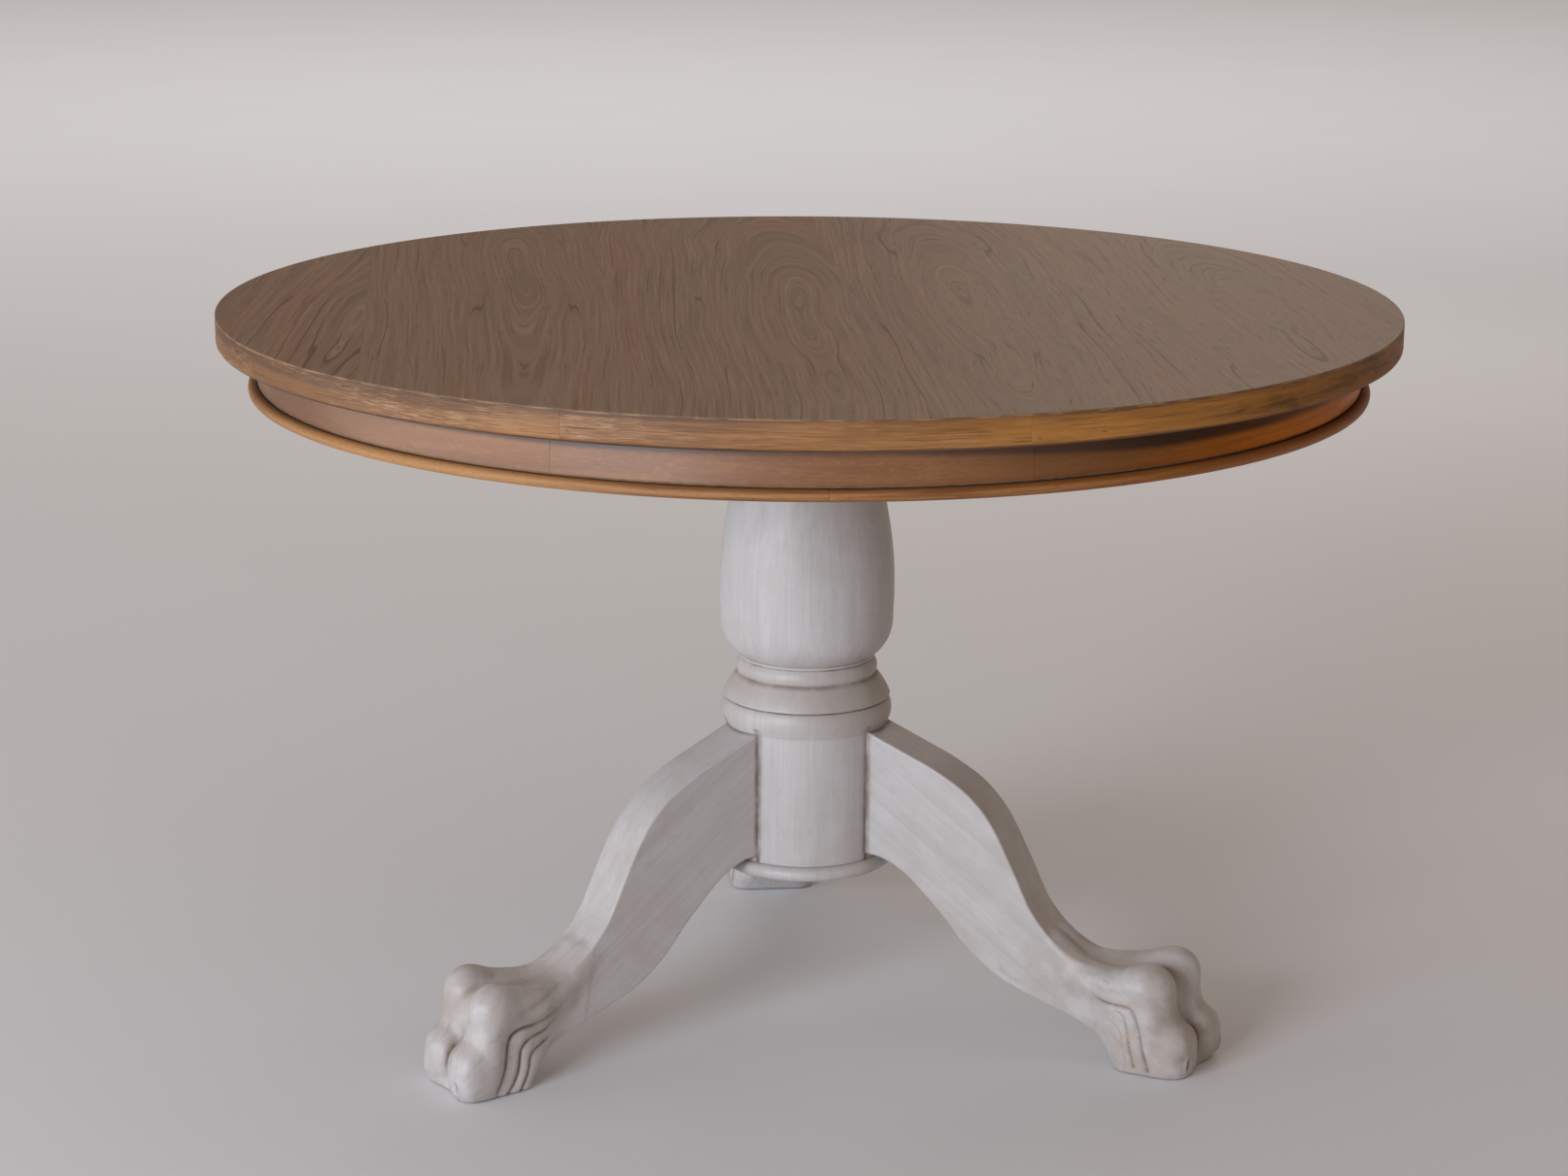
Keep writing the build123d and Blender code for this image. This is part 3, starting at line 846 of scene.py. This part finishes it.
def veneer_finish():
    """Brown flat-sawn veneer in satin lacquer, with arches and long tongues of grain along Y."""
    f = Finish("top_veneer_satin")
    grain = f.attribute("grain")
    x, y, seed = f.split(grain)
    sway = f.centred(f.noise(grain, (2.5, 1.7, 1), detail=1))
    tremor = f.centred(f.noise(grain, (14, 5, 1)))
    swell = f.centred(f.noise(grain, (5, 4, 1), detail=1))
    across = f.sum(x, (sway, 0.05), (tremor, 0.006))
    # The figure is rounded towards the far side and drawn out into a tongue towards the front
    along = f.sum(f.times(y, 0.045), (f.math("ABSOLUTE", y), 0.085), (swell, 0.03))
    ring = f.length(across, along)

    def in_figure(per_ring, per_length, **settings):
        return f.noise(f.joined(f.times(ring, per_ring), f.times(y, per_length), seed), 1.0, **settings)

    beat = f.math("FRACT", f.sum(f.times(ring, 55), (in_figure(22, 0.9), 5.0)))
    beat = f.math("ABSOLUTE", f.centred(beat))
    thin_lines = f.times(f.rise(beat, 0.44, 0.485), f.rise(in_figure(34, 3.2), 0.46, 0.60))
    bands = in_figure(80, 1.4, roughness=0.6)
    streaks = in_figure(330, 4, detail=4, roughness=0.7)
    pores = f.rise(in_figure(1500, 22, detail=1), 0.62, 0.74)
    red = f.rise(in_figure(26, 1.6), 0.50, 0.68)
    patches = f.noise(grain, (7, 1.8, 1))
    leaf_tone = f.noise(f.joined(0.0, 0.0, seed), 3.0, detail=0)
    level = f.split(f.place())[2]
    worn_edge = f.rise(level, table_height - 0.25 * MM, table_height - 0.75 * MM)
    pale_edge = f.rise(f.noise(f.place(), (40, 40, 200), detail=3), 0.42, 0.62, 0.8)
    colour = f.layers(
        f.mix(patches, (0.225, 0.14, 0.088), (0.285, 0.184, 0.12)),
        (f.times(red, 0.7), (0.305, 0.152, 0.088)),
        (f.rise(streaks, 0.45, 0.68, 0.9), (0.355, 0.232, 0.154)),
        (f.rise(bands, 0.52, 0.68, 0.2), (0.13, 0.068, 0.038)),
        (f.rise(streaks, 0.47, 0.30, 0.7), (0.125, 0.066, 0.039)),
        (f.times(thin_lines, 0.75), (0.07, 0.03, 0.016)),
        (f.times(pores, 0.3), (0.08, 0.042, 0.024)),
        (f.rise(leaf_tone, 0.3, 0.7, 0.25), (0.28, 0.165, 0.098)),
        (worn_edge, f.mix(pale_edge, (0.15, 0.083, 0.045), (0.34, 0.195, 0.095))),
    )
    dents = f.noise(grain, 55.0, detail=3)
    height = f.sum(0.0, (thin_lines, -0.4), (pores, -0.3), (streaks, 0.4), (dents, 0.25))
    rough = f.sum(0.42, (streaks, 0.16), (pores, 0.2))
    normal = f.bump(height, 0.25 * MM, 0.5)
    return f.done(colour, rough, Normal=normal, Specular_IOR_Level=0.28)


def rim_finish():
    """Open-grained lipping wood: dense fibres, worn flecks, old varnish on the left, redder on the right,
    some painted shade.
    """
    f = Finish("rim_wood_worn")
    grain = f.attribute("grain")
    place = f.place()
    side, _, level = f.split(place)
    long_grain = f.noise(grain, (7, 7, 240), detail=3, roughness=0.65)
    fibres = f.noise(grain, (32, 32, 950), detail=4, roughness=0.72)
    broad = f.noise(place, (6, 6, 60))
    shade = f.noise(place, (2.4, 2.4, 12))
    flecks = f.rise(f.noise(grain, (40, 40, 1450), detail=3, roughness=0.65), 0.50, 0.62)
    flecks = f.times(flecks, f.rise(f.noise(grain, (5, 5, 45)), 0.40, 0.62))
    dark_lines = f.rise(f.noise(grain, (14, 14, 700)), 0.58, 0.70)
    specks = f.rise(f.dots(f.scaled(grain, (34, 34, 80)), 1.0), 0.15, 0)
    specks = f.times(specks, f.rise(f.noise(grain, 22.0, detail=1), 0.50, 0.56))
    stains = f.rise(f.noise(grain, (12, 12, 60), detail=4, roughness=0.7), 0.48, 0.64)
    # Old varnish is left below the veneer, down to a worn line, most of all on the table's left
    worn_line = f.sum(level, (f.centred(long_grain), 9 * MM), (f.centred(fibres), 12 * MM))
    varnished = f.rise(side, -0.27, -0.40)
    varnish = f.rise(worn_line, leaf_bottom - 13 * MM, leaf_bottom - 8 * MM)
    varnish = f.times(varnish, f.sum(0.12, (varnished, 0.75)))
    # Soiling along the joint under the veneer
    dark_band = f.rise(worn_line, leaf_bottom - 4 * MM, leaf_bottom - 1 * MM)
    dark_band = f.times(dark_band, f.rise(shade, 0.42, 0.62, 0.7))
    # Redder wood for the right side, made bright as painted warm light
    rim_tone_and_warm_light = f.mix(long_grain, (0.41, 0.15, 0.02), (0.68, 0.31, 0.06))
    colour = f.layers(
        f.mix(f.rise(long_grain, 0.3, 0.7), (0.2, 0.078, 0.016), (0.335, 0.14, 0.036)),
        (f.rise(fibres, 0.42, 0.70, 0.8), (0.43, 0.215, 0.08)),
        (f.rise(fibres, 0.46, 0.30, 0.6), (0.12, 0.045, 0.012)),
        (f.rise(broad, 0.5, 0.7, 0.35), (0.39, 0.185, 0.065)),
        # Redder towards the right: the wood's own tone with painted warm light, then painted shade at the
        # far right end
        (f.rise(side, 0.0, 0.20, 0.7), rim_tone_and_warm_light),
        (f.rise(side, 0.28, 0.50, 0.7), (0.19, 0.066, 0.005)),
        (f.times(stains, f.rise(side, 0.10, 0.42, 0.6, 0.1)), (0.06, 0.024, 0.005)),
        (f.rise(shade, 0.48, 0.68, 0.5), (0.145, 0.054, 0.013)),
        (f.times(dark_lines, 0.5), (0.07, 0.03, 0.012)),
        (f.times(specks, 0.85), (0.03, 0.014, 0.007)),
        (varnish, (0.085, 0.032, 0.01)),
        (f.times(varnished, 0.6), (0.135, 0.054, 0.016)),
        (f.times(flecks, f.rise(side, -0.28, -0.05, 0.25, 0.7)), (0.56, 0.345, 0.175)),
        (dark_band, (0.06, 0.026, 0.012)),
        # Painted shade on its lower edge, which is rounded and faces down
        (f.rise(level, rim_bottom + 3.5 * MM, rim_bottom + 1.5 * MM, 0.7), (0.045, 0.02, 0.01)),
    )
    rough = f.sum(0.42, (long_grain, 0.2))
    shine = f.rise(side, 0.05, 0.40, 0.2, 0.5)
    normal = f.bump(f.sum(0.0, (specks, -0.8), (fibres, 0.6), (dark_lines, -0.5)), 0.4 * MM, 0.7)
    return f.done(colour, rough, Normal=normal, Specular_IOR_Level=shine)


def apron_finish():
    """Smooth apron wood under dull lacquer, redder and less shiny on the right, with a painted shadow below
    the rim.
    """
    f = Finish("apron_wood_satin")
    grain = f.attribute("grain")
    place = f.place()
    side, _, level = f.split(place)
    stripes = f.noise(grain, (5, 5, 120), detail=3, roughness=0.6)
    broad = f.noise(grain, (7, 7, 22), distortion=0.6)
    clouds = f.noise(place, (3.5, 3.5, 12))
    mottle = f.noise(grain, (130, 130, 320), detail=3, roughness=0.6)
    pores = f.rise(f.noise(grain, (60, 60, 1100), detail=1), 0.62, 0.74)
    figure = f.math("FRACT", f.sum(0.0, (stripes, 1.5), (broad, 14.0)))
    figure = f.ramp(figure, [(0.0, 0.3), (0.15, 0.0), (0.8, 0.6), (0.95, 1.0)])
    # Redder wood for the right side, made bright as painted warm light
    apron_tone_and_warm_light = f.mix(f.rise(stripes, 0.3, 0.7), (0.56, 0.145, 0.004), (0.82, 0.245, 0.007))
    apron_tone_and_warm_light = f.mix(f.times(figure, 0.3), apron_tone_and_warm_light, (0.4, 0.095, 0.003))
    # Painted highlight along the lower bevel, where it catches the light
    pale_edge = f.rise(level, apron_bottom + 2.6 * MM, apron_bottom + 1.2 * MM)
    pale_edge = f.times(pale_edge, f.rise(mottle, 0.3, 0.55, 0.9, 0.45))
    # Painted shadow of the rim, with some soiling, reaching far down on the right
    deep = f.rise(level, rim_bottom - 34 * MM, rim_bottom - 10 * MM, 0.7)
    deep = f.times(deep, f.rise(side, 0.05, 0.28), f.rise(clouds, 0.35, 0.6, 1.0, 0.6))
    # Painted shadow of the rim's overhang, broken up with noise and reaching lower on the right
    rim_shadow_edge = f.sum(level, (f.rise(side, 0.0, 0.30), 9 * MM), (f.centred(clouds), 8 * MM))
    dark_band = f.rise(rim_shadow_edge, rim_bottom - 14 * MM, rim_bottom - 8 * MM)
    dark_band = f.times(dark_band, f.rise(clouds, 0.35, 0.6, 0.9, 0.45))
    colour = f.layers(
        f.mix(f.rise(stripes, 0.3, 0.7), (0.205, 0.072, 0.012), (0.29, 0.112, 0.023)),
        (f.rise(broad, 0.35, 0.68, 0.5), (0.37, 0.15, 0.045)),
        (f.times(figure, 0.22), (0.17, 0.052, 0.01)),
        (f.rise(clouds, 0.5, 0.72, 0.4), (0.18, 0.052, 0.008)),
        (f.rise(mottle, 0.5, 0.75, 0.3), (0.42, 0.21, 0.085)),
        (f.times(pores, 0.3), (0.08, 0.026, 0.006)),
        # Painted shade right of the middle, then redder towards the right: the wood's own tone with painted
        # warm light
        (f.rise(side, 0.0, 0.15, 0.4), (0.145, 0.05, 0.008)),
        (f.rise(side, 0.20, 0.45, 0.9), apron_tone_and_warm_light),
        # It is darker on the far left too
        (f.rise(side, -0.36, -0.54, 0.6), (0.11, 0.038, 0.008)),
        (pale_edge, (0.5, 0.33, 0.2)),
        (deep, (0.1, 0.028, 0.003)),
        (dark_band, (0.04, 0.016, 0.006)),
    )
    rough = f.sum(0.36, (stripes, 0.10))
    shine = f.rise(side, 0.0, 0.35, 0.1, 1.0)
    normal = f.bump(f.sum(0.0, (pores, -0.2), (broad, 0.8)), 0.2 * MM, 0.5)
    return f.done(colour, rough, Normal=normal, Specular_IOR_Level=shine)


def bead_finish():
    """Bead wood worn on its nose, with painted shade and soiling above it, painted light on its left,
    painted shade on its redder right.
    """
    f = Finish("bead_wood_satin")
    grain = f.attribute("grain")
    x, y, level = f.split(f.place())
    stripes = f.noise(grain, (8, 90, 260), detail=3, roughness=0.65)
    clouds = f.noise(grain, (6, 20, 20))
    flecks = f.rise(f.noise(grain, (300, 500, 900), detail=3, roughness=0.6), 0.54, 0.68)
    reach = f.length(x, y)
    # Painted shade, with soiling, in the corner between apron and bead
    corner = f.rise(reach, apron_radius + 2.8 * MM, apron_radius + 0.6 * MM)
    corner = f.times(corner, f.rise(level, apron_bottom - 2 * MM, apron_bottom))
    nose = f.rise(reach, bead_radius - 1.5 * MM, bead_radius, 0.7)
    colour = f.layers(
        f.mix(f.rise(stripes, 0.3, 0.7), (0.205, 0.076, 0.018), (0.32, 0.136, 0.04)),
        (f.rise(clouds, 0.48, 0.75, 0.45), (0.19, 0.072, 0.02)),
        # Painted light on its left, where the lamps fall, but darker again at its far left end
        (f.rise(x, -0.12, -0.35, 0.8), f.mix(stripes, (0.39, 0.18, 0.056), (0.61, 0.33, 0.135))),
        (f.rise(x, -0.44, -0.57, 0.65), (0.19, 0.078, 0.024)),
        (f.times(nose, f.rise(stripes, 0.3, 0.6)), (0.43, 0.205, 0.07)),
        # Painted shade on its right, which is redder too
        (f.rise(x, 0.05, 0.35, 0.75), f.mix(stripes, (0.2, 0.058, 0.004), (0.46, 0.15, 0.014))),
        (f.times(flecks, 0.45), (0.12, 0.05, 0.018)),
        (f.times(corner, 0.95), (0.016, 0.008, 0.005)),
    )
    normal = f.bump(f.sum(stripes, (flecks, -0.4)), 0.2 * MM, 0.6)
    return f.done(colour, 0.58, Normal=normal, Specular_IOR_Level=0.45)


def painted_finish():
    """Off-white brushed paint with an umber glaze left in hollows, along joints and on paws and turnings."""
    f = Finish("painted_wood_glazed")
    grain = f.attribute("grain")
    grime = f.attribute("grime", "Fac")
    level = f.split(f.place())[2]
    strokes = f.noise(grain, (7, 260, 260), detail=4, roughness=0.65)
    wide_strokes = f.noise(grain, (3.0, 60, 60))
    clouds = f.noise(grain, 9.0, detail=3)
    blotches = f.noise(grain, 38.0, detail=4, roughness=0.6)
    smudges = f.noise(grain, (30, 70, 70), detail=3, roughness=0.6)
    specks = f.rise(f.dots(grain, 75.0), 0.085, 0)
    specks = f.times(specks, f.rise(f.noise(grain, 13.0, detail=1), 0.55, 0.62))
    paws = f.rise(level, 70 * MM, 150 * MM, 0.4, 1.0)
    thin = f.times(f.rise(clouds, 0.38, 0.64, 0.8, 0.2), f.rise(blotches, 0.30, 0.62, 0.9, 0.3), paws)
    # The turnings between drum and vase are tinted too
    low, high, fade = 310 * MM, 412 * MM, 20 * MM
    turnings = f.times(f.rise(level, low, low + fade), f.rise(level, high, high - fade))
    turnings = f.times(turnings, f.rise(clouds, 0.35, 0.6, 0.5, 0.15))
    # The glaze also carries painted shade at the legs' lower corners
    glaze = f.times(f.rise(grime, 0.12, 0.85), f.rise(blotches, 0.30, 0.62, 1.0, 0.45))
    colour = f.layers(
        f.mix(f.rise(strokes, 0.25, 0.75), (0.54, 0.52, 0.514), (0.61, 0.592, 0.593)),
        (f.rise(wide_strokes, 0.45, 0.8, 0.4), (0.43, 0.395, 0.365)),
        (thin, (0.395, 0.335, 0.28)),
        (turnings, (0.42, 0.36, 0.305)),
        (f.times(glaze, 0.85), (0.15, 0.095, 0.058)),
        (f.times(f.rise(smudges, 0.56, 0.72, 0.5), paws), (0.5, 0.38, 0.29)),
        (f.times(f.rise(smudges, 0.42, 0.26, 0.4), paws), (0.27, 0.225, 0.19)),
        (f.times(specks, 0.6), (0.12, 0.085, 0.06)),
    )
    rough = f.sum(0.36, (strokes, 0.15), (glaze, 0.15))
    normal = f.bump(f.sum(0.0, (blotches, 0.3), (strokes, 0.8)), 0.22 * MM, 0.45)
    return f.done(colour, rough, Normal=normal)


def raw_wood_finish(name, degrees, light, dark):
    """Unfinished wood for the underside, with its grain at an angle from X."""
    f = Finish(name)
    grain = f.turned(f.place(), -degrees)
    stripes = f.noise(grain, (3, 110, 110), detail=4, roughness=0.6)
    rings = f.noise(grain, (0.9, 14, 14), distortion=0.4)
    saw = f.noise(grain, (300, 6, 6), detail=1)
    bands = f.rise(f.math("FRACT", f.times(rings, 9.0)), 0.55, 1.0, 0.4)
    colour = f.mix(f.rise(stripes, 0.3, 0.7), dark, light)
    colour = f.mix(bands, colour, tuple(0.6 * c for c in dark))
    normal = f.bump(f.sum(stripes, (saw, 0.4)), 0.3 * MM, 0.6)
    return f.done(colour, 0.75, Normal=normal)


def steel_finish():
    """Zinc-plated steel with a dull, slightly mottled skin."""
    f = Finish("steel_zinc")
    mottle = f.noise(f.place(), 350.0, detail=3)
    colour = f.mix(mottle, (0.42, 0.42, 0.43), (0.6, 0.6, 0.6))
    rough = f.rise(mottle, 0.3, 0.7, 0.5, 0.28)
    return f.done(colour, rough, Metallic=1.0, Normal=f.bump(mottle, 0.05 * MM, 0.4))


def nylon_finish():
    """Grey moulded nylon, scuffed by the floor."""
    f = Finish("nylon_grey")
    scuffs = f.noise(f.place(), (400, 60, 60), detail=3)
    colour = f.mix(scuffs, (0.16, 0.155, 0.15), (0.30, 0.29, 0.28))
    return f.done(colour, 0.55, Normal=f.bump(scuffs, 0.05 * MM, 0.4))


def repaint(prefix, material):
    """Gives every CAD node whose name starts with a prefix, or one of several, a better material."""
    for name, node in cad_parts.items():
        if name.startswith(prefix):
            node.data.materials.clear()
            node.data.materials.append(material)


# ---- Stage ----

def add_floor():
    """A plain pale floor that reaches far past the view."""
    half = 60.0
    corners = [(-half, -half, 0), (half, -half, 0), (half, half, 0), (-half, half, 0)]
    mesh = bpy.data.meshes.new("floor")
    mesh.from_pydata(corners, [], [(0, 1, 2, 3)])
    f = Finish("floor_pale")
    colour = f.mix(f.noise(f.place(), 2.0), (0.80, 0.82, 0.85), (0.83, 0.85, 0.88))
    mesh.materials.append(f.done(colour, 0.9))
    add_object("floor", mesh)


def add_area_light(name, place, target, size, power, colour):
    """A soft light of some width and height in metres and power in watts, turned to its target."""
    lamp = bpy.data.lights.new(name, "AREA")
    lamp.shape = "RECTANGLE"
    lamp.size, lamp.size_y = size
    lamp.energy = power
    lamp.color = colour
    light = add_object(name, lamp)
    light.location = place
    light.rotation_euler = (Vector(target) - Vector(place)).to_track_quat("-Z", "Y").to_euler()


def add_lights():
    """Two soft lights from the left, one behind for the top's sheen, one on the backdrop, warm surround."""
    add_area_light("key", (-3.2, -3.85, 1.55), (0, 0, 0.4), (2.2, 1.8), 165, (0.83, 0.89, 1.0))
    add_area_light("side", (-4.2, -0.4, 0.62), (0, 0, 0.45), (3.4, 1.3), 38, (0.80, 0.89, 1.0))
    add_area_light("sheen", (1.5, 4.2, 2.1), (0.2, 0, 0.75), (1.6, 1.0), 8, (1.0, 0.92, 0.84))
    add_area_light("backdrop", (0, 7.0, 8.0), (0, 14.0, 0), (8.0, 4.0), 420, (0.95, 0.97, 1.0))
    world = bpy.data.worlds.new("surround")
    world.use_nodes = True
    background = world.node_tree.nodes["Background"].inputs
    background["Color"].default_value = (1.0, 0.82, 0.69, 1.0)
    background["Strength"].default_value = 0.34
    bpy.context.scene.world = world


def add_camera():
    """The view: from the front, a little to the left, looking down on the top."""
    distance, height = 3.579, 1.37
    azimuth, pan, tilt, roll = (math.radians(degrees) for degrees in (-5.85, -0.385, 14.3, 0.32))
    camera = add_object("camera", bpy.data.cameras.new("camera"))
    camera.data.sensor_width = 36
    camera.data.lens = 81.34
    stand = Matrix.Rotation(azimuth, 4, "Z") @ Matrix.Translation((0, -distance, height))
    panned = stand @ Matrix.Rotation(-pan, 4, "Z")
    tilted = panned @ Matrix.Rotation(math.pi / 2 - tilt, 4, "X")
    camera.matrix_world = tilted @ Matrix.Rotation(roll, 4, "Z")
    bpy.context.scene.camera = camera


# ---- The table ----

add_camera()
add_floor()
add_lights()
bpy.context.scene.view_settings.view_transform = "Standard"

veneer = veneer_finish()
leaf_figures = [
    (-0.455, -0.04, 0.4, -0.09),
    (-0.30, 0.27, 1.3, 0.0),
    (-0.01, 0.0, 2.1, -0.03),
    (0.17, 0.08, 3.7, -0.04),
    (0.45, -0.04, 5.2, 0.03),
]
for number, figure in enumerate(leaf_figures):
    make_leaf(number, veneer, figure)
make_rim(rim_finish())
make_apron(apron_finish())
make_bead(bead_finish())

painted = painted_finish()
turned_piece("column", column_outline(), painted)
turned_piece("base_disc", disc_outline(), painted)
make_legs(painted)

under_frame_turn = -7.5  # degrees between the bearers' grain and X
repaint("top_core", raw_wood_finish("core_wood_raw", 90, (0.40, 0.27, 0.16), (0.25, 0.155, 0.085)))
repaint("apron_block", raw_wood_finish("block_wood_raw", 20, (0.44, 0.30, 0.18), (0.28, 0.17, 0.09)))
bearer_wood = raw_wood_finish("bearer_wood_raw", under_frame_turn, (0.42, 0.28, 0.16), (0.27, 0.16, 0.085))
repaint(("bearer", "mounting_plate"), bearer_wood)
repaint(("tie_rod", "block_screws", "bearer_screws", "plate_screws"), steel_finish())
repaint("glide", nylon_finish())
